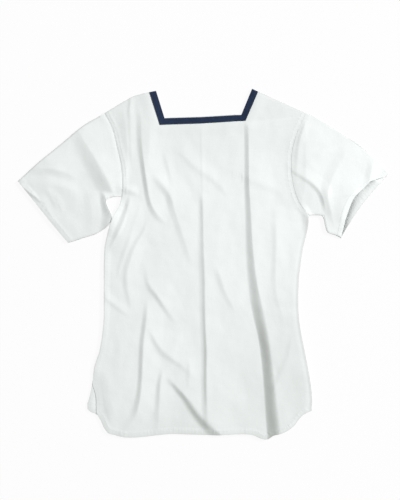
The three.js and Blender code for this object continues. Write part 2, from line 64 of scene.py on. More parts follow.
# Folds with a steep side, on the right hand as the rows run, and a gentle one. A row gives a place on
# the crest: x, y, height, how far the steep side reaches, how far the gentle side reaches.
FOLDS = {
    "long_right": [
        (87.4, 283.5, 0.0, 9, 140), (89.4, 263.5, 1.8, 10, 150), (90.2, 207.5, 2.1, 10, 160),
        (90.8, 157.5, 2.5, 11, 170), (94.4, 97.5, 2.8, 13, 180), (97.6, 37.5, 3.4, 15, 200),
        (103.2, -16.5, 4.4, 18, 300), (109.2, -52.5, 5.3, 20, 500), (120.0, -98.5, 6.3, 22, 700),
        (130.0, -148.5, 7.0, 20.5, 900), (138.8, -212.5, 7.5, 21.5, 900),
        (145.2, -272.5, 7.9, 23.5, 900), (150.4, -312.5, 8.4, 26, 900), (153.6, -344.5, 8.4, 27, 900),
    ],
    "long_right_foot": [
        (85.6, 227.5, 0.0, 60, 900), (91.6, 127.5, 0.7, 80, 900), (101.6, 7.5, 1.0, 90, 900),
        (121.6, -98.5, 1.2, 90, 900), (133.6, -192.5, 1.2, 90, 900), (143.6, -292.5, 1.2, 90, 900),
        (147.6, -344.5, 1.2, 90, 900),
    ],
    "centre_crease": [
        (-10.4, 153.5, 0.0, 9, 60), (-4.8, 135.5, 0.5, 9, 64), (-1.6, 115.5, 0.9, 10, 70),
        (0.0, 27.5, 1.3, 12, 84), (2.0, -22.5, 1.5, 13, 120), (3.2, -112.5, 1.5, 12, 220),
        (6.0, -172.5, 1.7, 12, 220), (5.6, -222.5, 1.9, 12, 220), (6.4, -272.5, 1.6, 12, 200),
        (7.6, -304.5, 0.9, 11, 160), (8.4, -332.5, 0.0, 10, 80),
    ],
    "lower_left": [
        (-110.4, -70.5, 0.0, 9, 30), (-112.8, -94.5, 1.1, 10, 34), (-114.4, -112.5, 1.6, 10, 36),
        (-119.6, -152.5, 2.0, 10, 38), (-121.6, -192.5, 2.2, 10, 38), (-122.8, -222.5, 2.2, 10, 36),
        (-125.6, -258.5, 2.2, 11, 34), (-132.4, -292.5, 1.8, 13, 30), (-144.4, -314.5, 1.0, 14, 28),
        (-160.4, -336.5, 0.4, 14, 26),
    ],
    "lower_diagonal": [
        (-73.4, -226.5, 0.0, 8, 70), (-61.2, -236.5, 1.4, 9, 80), (-49.2, -248.5, 2.4, 11, 90),
        (-35.6, -263.5, 3.3, 12, 100), (-24.4, -278.5, 3.8, 13, 110), (-10.8, -297.5, 4.4, 14, 110),
        (3.2, -312.5, 4.7, 17, 110), (18.8, -326.5, 4.4, 19, 100), (36.4, -340.5, 3.6, 20, 90),
    ],
    "lower_inner": [
        (-80.4, -208.5, 0.0, 9, 22), (-84.4, -226.5, 1.3, 9, 26), (-86.8, -242.5, 1.5, 9, 28),
        (-88.8, -280.5, 1.1, 11, 30), (-90.4, -312.5, 0.6, 11, 26), (-91.2, -336.5, 0.0, 10, 20),
    ],
    "chest_left": [
        (-127.4, 319.5, 0.0, 10, 24), (-125.2, 287.5, 0.7, 11, 30), (-123.6, 247.5, 1.3, 12, 34),
        (-120.8, 217.5, 1.8, 11, 38), (-116.4, 183.5, 2.3, 10, 42), (-112.0, 155.5, 2.4, 10, 44),
        (-108.8, 135.5, 2.2, 10, 38), (-103.2, 117.5, 1.9, 11, 32), (-94.0, 101.5, 1.4, 12, 26),
        (-82.4, 89.5, 0.7, 11, 20), (-74.4, 83.5, 0.0, 10, 20),
    ],
    "chest_left_foot": [
        (-114.4, 323.5, 0.0, 22, 60), (-108.4, 291.5, 1.0, 26, 60), (-106.4, 247.5, 1.5, 26, 60),
        (-109.2, 213.5, 0.9, 20, 60), (-112.4, 185.5, 0.0, 12, 50),
    ],
    "shoulder_soft": [
        (-162.4, 315.5, 0.0, 16, 60), (-157.2, 285.5, 0.9, 19, 70), (-153.2, 251.5, 1.5, 20, 80),
        (-152.4, 223.5, 1.3, 20, 70), (-152.4, 195.5, 0.7, 16, 60), (-154.4, 171.5, 0.0, 14, 40),
    ],
    "chest_diagonal": [
        (-104.4, 181.5, 0.0, 10, 24), (-90.4, 167.5, 1.4, 12, 34), (-74.4, 149.5, 2.0, 13, 40),
        (-64.0, 131.5, 1.9, 14, 44), (-57.6, 107.5, 1.3, 14, 44), (-48.8, 81.5, 0.9, 13, 44),
        (-39.6, 51.5, 0.8, 12, 40), (-30.4, 23.5, 0.5, 11, 34), (-22.4, -0.5, 0.0, 10, 30),
    ],
    "underarm_fan_a": [
        (-144.4, 137.5, 0.0, 8, 24), (-150.8, 115.5, 1.7, 9, 34), (-158.4, 89.5, 2.3, 11, 40),
        (-168.8, 65.5, 2.0, 11, 36), (-179.2, 45.5, 1.2, 9, 24), (-187.4, 27.5, 0.0, 8, 14),
    ],
    "underarm_fan_b": [
        (-124.4, 123.5, 0.0, 7, 16), (-132.4, 97.5, 0.3, 8, 18), (-140.4, 73.5, 0.3, 8, 18),
        (-146.4, 53.5, 0.5, 8, 16), (-157.6, 21.5, 0.7, 8, 14), (-167.2, -6.5, 0.5, 8, 14),
        (-171.4, -28.5, 0.0, 7, 12),
    ],
    "underarm_fan_c": [
        (-108.4, 87.5, 0.0, 8, 18), (-121.2, 61.5, 0.7, 8, 20), (-134.4, 39.5, 1.0, 9, 20),
        (-144.4, 15.5, 1.3, 10, 22), (-151.6, -8.5, 1.2, 11, 24), (-153.6, -36.5, 0.9, 10, 24),
        (-149.2, -64.5, 0.7, 9, 22), (-142.4, -92.5, 0.0, 8, 20),
    ],
    "waist_inner": [
        (-113.6, -8.5, 0.0, 9, 30), (-111.6, -30.5, 0.7, 10, 34), (-105.6, -45.5, 1.4, 10, 36),
        (-93.2, -61.5, 1.8, 10, 38), (-80.4, -80.5, 1.4, 9, 36), (-66.4, -100.5, 0.8, 9, 30),
        (-50.4, -120.5, 0.0, 9, 24),
    ],
    "low_inner": [
        (-106.4, -128.5, 0.0, 9, 30), (-97.2, -149.5, 1.2, 10, 40), (-82.4, -171.5, 1.5, 12, 60),
        (-64.4, -186.5, 1.4, 10, 44), (-44.4, -200.5, 1.0, 10, 34), (-26.4, -215.7, 0.4, 10, 26),
        (-12.4, -230.5, 0.0, 10, 20),
    ],
    "sleeve_left_long": [
        (-258.4, 279.5, 0.0, 20, 40), (-240.4, 249.5, 1.7, 26, 54), (-226.4, 227.5, 2.4, 28, 60),
        (-214.4, 207.5, 3.1, 30, 64), (-200.4, 183.5, 3.6, 30, 60), (-188.0, 159.5, 3.6, 30, 50),
        (-182.8, 147.5, 1.5, 12, 30), (-180.4, 140.5, 0.0, 10, 20),
    ],
    "sleeve_left_under": [
        (-204.4, 147.5, 0.0, 9, 24), (-197.2, 135.5, 2.2, 12, 26), (-194.8, 127.5, 3.2, 14, 28),
        (-189.6, 115.5, 4.0, 18, 30), (-183.2, 101.5, 4.4, 22, 30), (-182.8, 89.5, 4.4, 24, 30),
        (-188.8, 75.5, 3.4, 20, 28), (-198.4, 61.5, 1.0, 14, 24),
    ],
    "sleeve_left_across": [
        (-352.4, 186.1, 0.0, 14, 30), (-314.4, 191.5, 1.5, 16, 44), (-278.4, 184.5, 1.4, 16, 44),
        (-244.4, 166.5, 0.0, 14, 30),
    ],
    "sleeve_left_ridge": [
        (-238.4, 137.5, 0.0, 20, 40), (-272.4, 151.5, 1.3, 24, 44), (-308.4, 159.5, 1.5, 24, 44),
        (-336.4, 159.5, 0.9, 20, 34), (-352.4, 165.5, 0.0, 14, 24),
    ],
    "sleeve_right_long": [
        (287.6, 235.5, 0.0, 12, 60), (280.4, 215.5, 0.7, 16, 60), (269.6, 195.5, 1.2, 20, 66),
        (257.6, 173.5, 1.8, 20, 70), (249.6, 151.5, 2.3, 18, 70), (247.6, 133.5, 2.5, 17, 60),
        (251.6, 115.5, 1.8, 16, 44), (256.8, 93.5, 0.7, 13, 30), (261.6, 69.5, 0.0, 12, 20),
    ],
    "sleeve_right_under": [
        (179.6, 185.5, 0.6, 7, 16), (205.6, 169.5, 1.3, 8, 20), (219.6, 159.5, 1.6, 9, 22),
        (231.6, 145.5, 1.6, 9, 24), (238.8, 129.5, 1.2, 9, 20), (242.4, 113.5, 0.6, 9, 18),
        (243.6, 99.5, 0.0, 9, 16),
    ],
}

# A fold's steep side is hollow below its crest, and its gentle side falls almost evenly. Where a fold
# has rolled over its foot, from this height on the shirt downwards, its steep side is full.
STEEP_SOFTNESS, STEEP_HOLLOW, GENTLE_HOLLOW = 0.5, 1.7, 1.2
FULL_FOLDS, FULL_FADE, FULL_SHARE = {"long_right": -40, "chest_left_foot": 400}, 70, 0.85

# Finer creases, each with its steep reach, its gentle reach, and x, y and height along its crest
CREASES = {
    "centre_pressed": (5, 8, [
        (-4.0, 276.1, 0.0), (-4.0, 250.1, 0.2), (-2.0, 157.5, 0.2), (-1.2, 127.5, 0.0),
    ]),
    "centre_sharp": (6, 110, [
        (-2.0, 147.5, 0.0), (-1.6, 117.5, 0.5), (0.0, 27.5, 0.5), (2.0, -22.5, 0.6),
        (3.2, -112.5, 0.7), (6.0, -172.5, 0.9), (5.6, -222.5, 0.9), (6.4, -272.5, 0.6),
        (7.6, -300.5, 0.0),
    ]),
    "right_edge": (76, 30, [
        (212.8, 103.5, 0.0), (206.4, 47.5, 1.6), (197.2, 3.5, 2.4), (191.2, -42.5, 2.8),
        (190.8, -92.5, 3.0), (196.8, -142.5, 3.2), (208.8, -196.5, 3.0), (217.6, -232.5, 3.0),
        (223.6, -264.5, 2.6), (225.6, -296.5, 1.6), (223.6, -324.5, 0.0),
    ]),
    "chest_rise": (76, 70, [
        (203.6, 303.5, 0.0), (203.6, 257.5, 2.0), (203.6, 207.5, 2.8), (201.6, 157.5, 2.6),
        (193.6, 117.5, 1.2), (185.6, 83.5, 0.0),
    ]),
    "shoulder_left": (6, 10, [
        (-144.4, 335.5, 0.0), (-145.2, 327.5, 0.7), (-147.6, 307.5, 0.8), (-146.4, 283.5, 0.4),
        (-144.4, 227.5, 0.3), (-142.4, 187.5, 0.0),
    ]),
    "chest_fine": (9, 14, [
        (-80.4, 227.5, 0.0), (-74.4, 209.5, 0.4), (-67.6, 185.5, 0.5), (-60.4, 157.5, 0.0),
    ]),
    "chest_across": (9, 24, [
        (-62.4, 235.5, 0.0), (-40.4, 217.5, 0.7), (-20.4, 197.5, 0.8), (-0.4, 182.3, 0.8),
        (19.6, 168.3, 0.9), (39.6, 149.5, 0.5), (49.6, 133.5, 0.0),
    ]),
    "armpit_pinch": (8, 13, [
        (-164.4, 151.1, 0.3), (-156.4, 148.7, 1.3), (-146.4, 146.3, 1.9), (-137.6, 143.5, 1.1),
        (-130.4, 139.5, 0.0),
    ]),
    "waist_middle": (11, 24, [
        (23.6, -4.5, 0.0), (31.6, -20.5, 0.7), (41.6, -50.5, 0.8), (55.6, -78.5, 0.7),
        (65.6, -96.5, 0.0),
    ]),
    "right_upright": (10, 26, [
        (141.6, 117.5, 0.0), (142.4, 97.5, 0.5), (144.8, 47.5, 0.9), (143.6, 3.5, 0.8),
        (142.8, -32.5, 0.6), (146.4, -64.5, 0.5), (155.6, -98.5, 0.3), (163.6, -126.5, 0.0),
    ]),
    "right_upper": (13, 60, [
        (95.6, 167.5, 0.8), (117.6, 160.5, 0.9), (135.6, 153.5, 0.8), (149.6, 145.5, 0.4),
        (165.6, 127.5, 0.0),
    ]),
    "right_low": (10, 20, [
        (177.6, -140.5, 0.0), (172.4, -164.5, 0.4), (165.6, -192.5, 0.5), (149.6, -226.5, 0.6),
        (135.6, -262.5, 0.0),
    ]),
    "right_pinch": (14, 10, [
        (189.6, 117.5, 0.0), (200.8, 109.5, 1.3), (207.6, 95.5, 2.2), (209.6, 79.5, 2.2),
        (208.8, 65.5, 1.1), (207.6, 47.5, 0.0),
    ]),
    "left_faint": (7, 14, [
        (-200.4, -66.5, 0.0), (-192.4, -69.7, 0.6), (-176.4, -82.5, 0.7), (-158.4, -95.7, 0.5),
        (-144.4, -106.5, 0.0),
    ]),
    "left_corner": (10, 20, [
        (-200.4, -234.5, 0.0), (-199.6, -256.5, 0.3), (-194.4, -280.5, 0.4), (-188.4, -300.5, 0.4),
        (-180.4, -318.5, 0.0),
    ]),
    "left_low": (16, 26, [
        (-170.4, -130.5, 0.0), (-166.4, -172.5, 0.5), (-168.4, -214.5, 0.2), (-172.4, -250.5, 0.0),
    ]),
    "left_rise": (26, 12, [
        (-194.4, 41.5, 0.0), (-198.4, -22.5, 0.7), (-199.2, -92.5, 0.8), (-204.4, -152.5, 0.4),
        (-214.4, -204.5, 0.0),
    ]),
    "low_faint": (9, 16, [
        (-32.4, -184.5, 0.0), (-27.2, -208.5, 0.5), (-29.6, -232.5, 0.4), (-26.4, -252.5, 0.0),
    ]),
    "sleeve_left_hem": (6, 8, [
        (-370.0, 162.1, 0.0), (-362.4, 155.5, 0.8), (-334.4, 133.5, 0.8), (-318.0, 120.1, 0.0),
    ]),
    "sleeve_left_fan_a": (7, 10, [
        (-330.0, 142.1, 0.0), (-322.0, 130.1, 0.4), (-308.0, 106.1, 0.3), (-302.0, 94.1, 0.0),
    ]),
    "sleeve_left_fan_b": (7, 10, [
        (-316.0, 152.1, 0.0), (-308.0, 142.1, 0.5), (-296.0, 120.1, 0.4), (-290.0, 106.1, 0.0),
    ]),
    "sleeve_left_fan_c": (7, 10, [
        (-302.0, 146.1, 0.0), (-294.0, 134.1, 0.4), (-284.0, 110.1, 0.3), (-280.0, 98.1, 0.0),
    ]),
    "sleeve_left_pit": (14, 24, [
        (-234.4, 151.5, 0.0), (-226.4, 127.5, 0.4), (-222.4, 95.5, 0.4), (-224.4, 72.1, 0.2),
    ]),
    "sleeve_right_top": (6, 12, [
        (204.0, 286.1, 0.0), (199.6, 271.5, 0.6), (191.6, 247.5, 0.8), (187.2, 217.5, 0.7),
        (185.6, 187.5, 0.4), (187.6, 167.5, 0.0),
    ]),
    "sleeve_right_across": (8, 14, [
        (267.6, 233.5, 0.0), (245.6, 224.5, 0.8), (227.6, 215.5, 0.8), (211.6, 205.5, 0.6),
        (199.6, 193.5, 0.0),
    ]),
    "sleeve_right_cuff": (13, 20, [
        (341.6, 211.5, 0.0), (337.6, 197.5, 0.9), (333.6, 181.5, 1.2), (329.6, 165.5, 0.8),
        (325.6, 153.5, 0.0),
    ]),
}

# The back's neck edge rises over the tape on its outside, and carries the front with it. The rise is
# whole to a little past the tape, and fades from there.
NECK_LIFT, TAPE_WIDTH, PAST_TAPE, LIFT_FADE = 1.1, 12.7, 2, 26


def deselect():
    if bpy.context.object and bpy.context.object.mode == "EDIT":
        bpy.ops.object.mode_set(mode="OBJECT")
    bpy.ops.object.select_all(action="DESELECT")


def work_on(piece):
    deselect()
    piece.select_set(True)
    bpy.context.view_layer.objects.active = piece


def choose(piece, kind, chosen):
    """Goes into edit mode with some of the piece's vertices, edges or faces selected, by their numbers"""
    work_on(piece)
    bpy.ops.object.mode_set(mode="EDIT")
    bpy.ops.mesh.select_mode(type=kind)
    bpy.ops.mesh.select_all(action="DESELECT")
    bpy.ops.object.mode_set(mode="OBJECT")
    items = {"VERT": piece.data.vertices, "EDGE": piece.data.edges, "FACE": piece.data.polygons}[kind]
    for number in chosen:
        items[int(number)].select = True
    bpy.ops.object.mode_set(mode="EDIT")


def points_of(piece):
    """The piece's vertices, in millimetres"""
    places = np.empty(len(piece.data.vertices) * 3)
    piece.data.vertices.foreach_get("co", places)
    return places.reshape(-1, 3) / MM


def set_points(piece, points):
    piece.data.vertices.foreach_set("co", (points * MM).ravel())
    piece.data.update()


def outer_skin(node, is_outer):
    """The outer faces of a node's solid as a new piece of four-sided faces"""
    deselect()
    piece = bpy.data.objects.new("shirt_" + node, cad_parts[node].data.copy())
    bpy.context.collection.objects.link(piece)
    piece.data.materials.clear()
    work_on(piece)
    bpy.ops.mesh.customdata_custom_splitnormals_clear()
    bpy.ops.object.mode_set(mode="EDIT")
    bpy.ops.mesh.select_all(action="SELECT")
    bpy.ops.mesh.remove_doubles(threshold=0.01 * MM)
    bpy.ops.object.mode_set(mode="OBJECT")
    points = points_of(piece)
    corners = [list(face.vertices) for face in piece.data.polygons]
    normals = np.array([face.normal for face in piece.data.polygons])
    choose(piece, "FACE", np.flatnonzero(~is_outer(points, corners, normals)))
    bpy.ops.mesh.delete(type="FACE")
    bpy.ops.mesh.select_all(action="SELECT")
    bpy.ops.mesh.tris_convert_to_quads(
        face_threshold=math.radians(75), shape_threshold=math.pi, topology_influence=1.0
    )
    bpy.ops.object.mode_set(mode="OBJECT")
    return piece


def outline(piece):
    """The piece's open edge as rings of vertex numbers, anticlockwise seen from above"""
    points = points_of(piece)
    sides = {}
    for face in piece.data.polygons:
        ring = list(face.vertices)
        sides.update(dict.fromkeys(zip(ring, ring[1:] + ring[:1])))
    follow = {one: two for one, two in sides if (two, one) not in sides}
    rings = []
    while follow:
        start = next(iter(follow))
        ring = [start]
        while ring[-1] in follow:
            ring.append(follow.pop(ring[-1]))
        x, y = points[ring[:-1], :2].T
        clockwise = (x * np.roll(y, -1) - y * np.roll(x, -1)).sum() < 0
        rings.append(ring[-2::-1] if clockwise else ring[:-1])
    return rings


def cut_outline(ring, points, turns):
    """The stretches of an outline between the places where it turns, by name"""
    line = points[ring, :2]
    at = {name: int(np.hypot(*(line - place).T).argmin()) for name, place in turns.items()}
    names = list(turns)
    stretches = {}
    for name, after in zip(names, names[1:] + names[:1]):
        last = at[after] if at[after] > at[name] else at[after] + len(ring)
        stretches[name] = [ring[i % len(ring)] for i in range(at[name], last + 1)]
    return stretches


def crease_corners(piece, places):
    points = points_of(piece)
    chosen = [int(np.hypot(*(points[:, :2] - place).T).argmin()) for place in places]
    choose(piece, "VERT", chosen)
    bpy.ops.transform.vert_crease(value=1)
    bpy.ops.object.mode_set(mode="OBJECT")


def split_long_cells(piece, stretch, longest):
    """Halves the rows of cells that start at a stretch of the outline and are longer than a length"""
    points = points_of(piece)
    pairs = {tuple(sorted(pair)) for pair in zip(stretch, stretch[1:])}
    chosen = []
    for edge in piece.data.edges:
        one, two = edge.vertices
        if tuple(sorted((one, two))) in pairs and np.linalg.norm(points[one] - points[two]) > longest:
            chosen.append(edge.index)
    choose(piece, "EDGE", chosen)
    bpy.ops.mesh.loop_multi_select(ring=True)
    bpy.ops.mesh.subdivide(number_cuts=1)
    bpy.ops.object.mode_set(mode="OBJECT")


def refine(piece, levels):
    work_on(piece)
    subdivision = piece.modifiers.new("finer", "SUBSURF")
    subdivision.levels = subdivision.render_levels = levels
    subdivision.boundary_smooth = "PRESERVE_CORNERS"
    bpy.ops.object.modifier_apply(modifier=subdivision.name)


def smooth(t):
    t = np.clip(t, 0, 1)
    return t * t * (3 - 2 * t)


def nearest(lines, x, y):
    """Distance to the nearest of some lines, and how far along that line the nearest place is"""
    distance = np.full(len(x), np.inf)
    along = np.zeros(len(x))
    for line in lines:
        passed = 0
        for one, two in zip(line, line[1:]):
            run = np.subtract(two, one)
            length = max(math.hypot(*run), 1e-9)
            share = np.clip(((x - one[0]) * run[0] + (y - one[1]) * run[1]) / length ** 2, 0, 1)
            away = np.hypot(x - one[0] - share * run[0], y - one[1] - share * run[1])
            closer = away < distance
            distance[closer] = away[closer]
            along[closer] = passed + share[closer] * length
            passed += length
    return distance, along


def curved(rows, steps=4):
    """More rows between the rows of a fold, so that its crest bends smoothly"""
    rows = np.array(rows, float)
    padded = np.vstack([2 * rows[0] - rows[1], rows, 2 * rows[-1] - rows[-2]])
    finer = []
    for before, one, two, after in zip(padded, padded[1:], padded[2:], padded[3:]):
        for t in np.arange(steps) / steps:
            slope_one, slope_two = (two - before) / 2, (after - one) / 2
            finer.append(
                (2 * t ** 3 - 3 * t ** 2 + 1) * one + (t ** 3 - 2 * t ** 2 + t) * slope_one
                + (3 * t ** 2 - 2 * t ** 3) * two + (t ** 3 - t ** 2) * slope_two
            )
    finer.append(rows[-1])
    finer = np.array(finer)
    finer[:, 2] = np.maximum(finer[:, 2], 0)
    return finer


def fold_height(rows, x, y, full_from=None):
    """Height of one fold over flat cloth: steep on the right hand of its rows, gentle on the left"""
    rows = curved(rows)
    reach = rows[:, 3:].max()
    low, high = rows[:, :2].min(axis=0) - reach, rows[:, :2].max(axis=0) + reach
    near = np.flatnonzero((x > low[0]) & (x < high[0]) & (y > low[1]) & (y < high[1]))
    height = np.zeros(len(x))
    px, py = x[near], y[near]
    best = np.full(len(near), np.inf)
    for one, two in zip(rows, rows[1:]):
        run = two[:2] - one[:2]
        share = np.clip(((px - one[0]) * run[0] + (py - one[1]) * run[1]) / (run @ run), 0, 1)
        off_x, off_y = px - one[0] - share * run[0], py - one[1] - share * run[1]
        away = np.hypot(off_x, off_y)
        closer = away < best
        best[closer] = away[closer]
        values = one[2:] + np.outer(share, two[2:] - one[2:])
        steep_side = run[0] * off_y - run[1] * off_x < 0
        up_steep = np.clip(1 - away / values[:, 1], 0, 1)
        up_gentle = np.clip(1 - away / values[:, 2], 0, 1)
        bent = up_steep ** STEEP_HOLLOW
        if full_from is not None:
            rolled = FULL_SHARE * smooth((full_from - py) / FULL_FADE)
            bent = bent + rolled * (1 - (1 - up_steep) ** STEEP_HOLLOW - bent)
        share_up = np.where(
            steep_side, STEEP_SOFTNESS * smooth(up_steep) + (1 - STEEP_SOFTNESS) * bent,
            up_gentle ** GENTLE_HOLLOW,
        )
        height[near[closer]] = (values[:, 0] * share_up)[closer]
    return height


def is_top(points, corners, normals):
    return normals[:, 2] > 0.2


# Folded and sewn edges of the two sleeves, from the armhole outwards, and their open hems
SLEEVE_EDGES = {
    "left_top": [(-208.6, 294.8), (-244.3, 273.6), (-282.3, 241.8), (-333.2, 200.6), (-371.0, 165.5)],
    "left_under": [
        (-180.4, 136.5), (-196.2, 130.0), (-193.2, 118.0), (-186.6, 105.5), (-181.8, 96.0),
        (-189.8, 76.0), (-204.4, 67.4), (-216.4, 60.0), (-243.4, 52.4), (-271.4, 43.5),
    ],
    "right_top": [
        (215.0, 296.6), (227.0, 291.3), (282.0, 256.0), (322.0, 227.4), (345.0, 207.2), (371.0, 181.5),
    ],
    "right_under": [
        (221.6, 98.9), (233.4, 98.6), (239.4, 96.5), (241.2, 87.0), (245.8, 66.5), (249.8, 62.2),
        (262.0, 59.0), (274.4, 52.5),
    ],
}
SLEEVE_HEMS = [
    [(-371.0, 165.5), (-271.4, 43.5)],
    [(371.0, 181.5), (341.2, 149.3), (314.7, 117.0), (292.9, 84.8), (274.4, 52.5)],
]

front = outer_skin("front", is_top)
front_edges = cut_outline(outline(front)[0], points_of(front), FRONT_TURNS)
crease_corners(front, list(FRONT_TURNS.values()) + NECK_CORNERS)
split_long_cells(front, front_edges["side_left"] + front_edges["side_right"], LONGEST_SIDE_CELL)
front_edges = cut_outline(outline(front)[0], points_of(front), FRONT_TURNS)
split_long_cells(front, front_edges["hem"], LONGEST_HEM_CELL)
front_edges = cut_outline(outline(front)[0], points_of(front), FRONT_TURNS)
front_lines = {
    name: [tuple(place) for place in points_of(front)[stretch, :2]]
    for name, stretch in front_edges.items()
}
closed_edges = ("side_right", "shoulder_right", "shoulder_left", "side_left")
turned_lines = [front_lines[name] for name in closed_edges] + list(SLEEVE_EDGES.values())
armhole_lines = [front_lines["armhole_left"], front_lines["armhole_right"]]
# Below its left side seam the front's edge is loose, thin and low, and the back rises a little to it
SIDE_SLIT, SLIT_HEIGHT, SLIT_REACH = [(-222.6, -240.0), (-214.4, -297.5)], 3.3, 34
SLIT_LIFT, SLIT_STEP, STEP_REACH = 1.85, 0.1, 6
LIFT_OUTSIDE, LIFT_INSIDE = 60, 20
SLIT_THINNEST, THIN_REACH = 0.22, 10
# At a turned edge the cloth keeps these shares of its loft and folds, and rounds off
EDGE_LOFT, EDGE_FOLDS, EDGE_DROP, EDGE_ROUND = 0.92, 0.95, 0.35, 1.4
# Each sewn armhole is a shallow groove beside a double thickness of cloth, pressed flatter on the right
GROOVES, GROOVE_ROUND = (0.2, 0.04), 1.6
FELL_WIDTH, FELL_EXTRAS, FELL_STEP = 9, (0.08, 0.02), 3
# Shallow unevenness of cloth that has been worn and pressed: the size and the height of its waves
CRUMPLES = [(46, 0.5), (19, 0.22)]
# The turned edges end at this height, just above the back
TURNED_END = 1.15


def slit_lift(x, y):
    """How far the back stands up beside the loose edge of the front, most of all outside it"""
    (top_x, top_y), (low_x, low_y) = SIDE_SLIT
    outside = np.interp(y, [low_y, top_y], [low_x, top_x]) - x
    away = nearest([SIDE_SLIT], x, y)[0]
    reach = np.where(outside < 0, LIFT_INSIDE, LIFT_OUTSIDE)
    return (SLIT_LIFT + SLIT_STEP * smooth(outside / STEP_REACH)) * smooth(1 - away / reach)


def neck_lift(x, y):
    beyond_tape = nearest([front_lines["neck"]], x, y)[0] - TAPE_WIDTH - PAST_TAPE
    return NECK_LIFT * smooth(1 - beyond_tape / LIFT_FADE)


def crumple(x, y, size, height):
    """Waves of one size, each size cut from the noise at its own level"""
    places = np.column_stack([x / size, y / size, np.full(len(x), 0.37 * size)])
    return np.array([height * noise.noise(Vector(place)) for place in places])


def upper_height(x, y):
    """Height of the upper layer's outside over the surface, for the front and the sleeves"""
    to_turned = nearest(turned_lines, x, y)[0]
    to_neck = nearest([front_lines["neck"]], x, y)[0]
    to_slit = nearest([SIDE_SLIT], x, y)[0]
    loft = EDGE_LOFT + (1 - EDGE_LOFT) * (1 - np.exp(-to_turned / LOFT_REACH))
    falls = [
        (front_lines["neck"], NECK_FALL), (front_lines["hem"], HEM_FALL),
        (SLEEVE_HEMS[0], LEFT_CUFF_FALL), (SLEEVE_HEMS[1], RIGHT_CUFF_FALL),
    ]
    for line, fall in falls:
        loft = loft * (1 - fall * np.exp(-nearest([line], x, y)[0] / LOFT_REACH))
    folds = sum(fold_height(rows, x, y, FULL_FOLDS.get(name)) for name, rows in FOLDS.items())
    for steep, gentle, crest in CREASES.values():
        folds = folds + fold_height([(*place, steep, gentle) for place in crest], x, y)
    for size, wave_height in CRUMPLES:
        folds = folds + crumple(x, y, size, wave_height)
    height = (
        FRONT_BASE + neck_lift(x, y) + LOFT * loft
        + folds * smooth(to_neck / FOLD_FADE)
        * (EDGE_FOLDS + (1 - EDGE_FOLDS) * smooth(to_turned / FOLD_FADE))
        - EDGE_DROP * np.exp(-(to_turned / EDGE_ROUND) ** 2)
        - sum(
            groove * np.exp(-(nearest([line], x, y)[0] / GROOVE_ROUND) ** 2)
            for groove, line in zip(GROOVES, armhole_lines)
        )
    )
    return height + (SLIT_HEIGHT - height) * smooth(1 - to_slit / SLIT_REACH)


def front_height(x, y):
    to_hem = nearest([front_lines["hem"]], x, y)[0]
    return (
        upper_height(x, y)
        + HEM_EXTRA * smooth((HEM_WIDTH + HEM_STEP - to_hem) / HEM_STEP)
        + sum(
            extra * smooth((FELL_WIDTH + FELL_STEP - nearest([line], x, y)[0]) / FELL_STEP)
            for extra, line in zip(FELL_EXTRAS, armhole_lines)
        )
    )


def turn_down(piece, turns, names):
    """Turns the cloth's edge down to the back along some stretches of its outline"""
    points = points_of(piece)
    stretches = cut_outline(outline(piece)[0], points, turns)
    pairs = {tuple(sorted(pair)) for name in names for pair in zip(stretches[name], stretches[name][1:])}
    tops = dict(enumerate(points[:, 2]))
    for share in (0.5, 1.0):
        edges = [edge.index for edge in piece.data.edges if tuple(sorted(edge.vertices)) in pairs]
        before = len(piece.data.vertices)
        choose(piece, "EDGE", edges)
        bpy.ops.mesh.extrude_region_move()
        bpy.ops.object.mode_set(mode="OBJECT")
        points = points_of(piece)
        ends = TURNED_END + slit_lift(points[:, 0], points[:, 1])
        for edge in piece.data.edges:
            above, fresh = sorted(edge.vertices)
            if above < before <= fresh:
                tops[fresh] = tops[above]
                points[fresh, 2] = tops[fresh] + (ends[fresh] - tops[fresh]) * share
        set_points(piece, points)
        pairs = {
            tuple(sorted(edge.vertices)) for edge in piece.data.edges if min(edge.vertices) >= before
        }


def thicken(piece, thickness, thin_line=None):
    """Gives the cloth its thickness, inwards from its outside, and thins it towards a line"""
    work_on(piece)
    wall = piece.modifiers.new("wall", "SOLIDIFY")
    wall.thickness = thickness * MM
    if thin_line:
        x, y = points_of(piece)[:, :2].T
        shares = SLIT_THINNEST + (1 - SLIT_THINNEST) * smooth(nearest([thin_line], x, y)[0] / THIN_REACH)
        group = piece.vertex_groups.new(name="thickness")
        for number, share in enumerate(shares):
            group.add([number], float(share), "REPLACE")
        wall.vertex_group = group.name
    wall.offset = -1
    wall.use_even_offset = True
    bpy.ops.object.modifier_apply(modifier=wall.name)
    bpy.ops.object.shade_smooth_by_angle(angle=math.radians(50))


def mark(piece, name, values):
    """Keeps a value at each of the piece's vertices, for its material"""
    attribute = piece.data.attributes.new(name, "FLOAT", "POINT")
    attribute.data.foreach_set("value", np.asarray(values, dtype=np.float32))


def marks_of(piece, name):
    values = np.empty(len(piece.data.vertices), dtype=np.float32)
    piece.data.attributes[name].data.foreach_get("value", values)
    return values


# Puckers lie this far from a seam, and fade where another seam is as near
PUCKER_PLACE, PUCKER_REACH, PUCKER_FADE = 7.5, 6.5, 6
# How far in from an edge shade is painted on the cloth, where its rolled edge turns from the light, and how
# far at the front's right side seam
EDGE_SHADE_REACH, WIDE_EDGE_SHADE_REACH = 3.6, 7


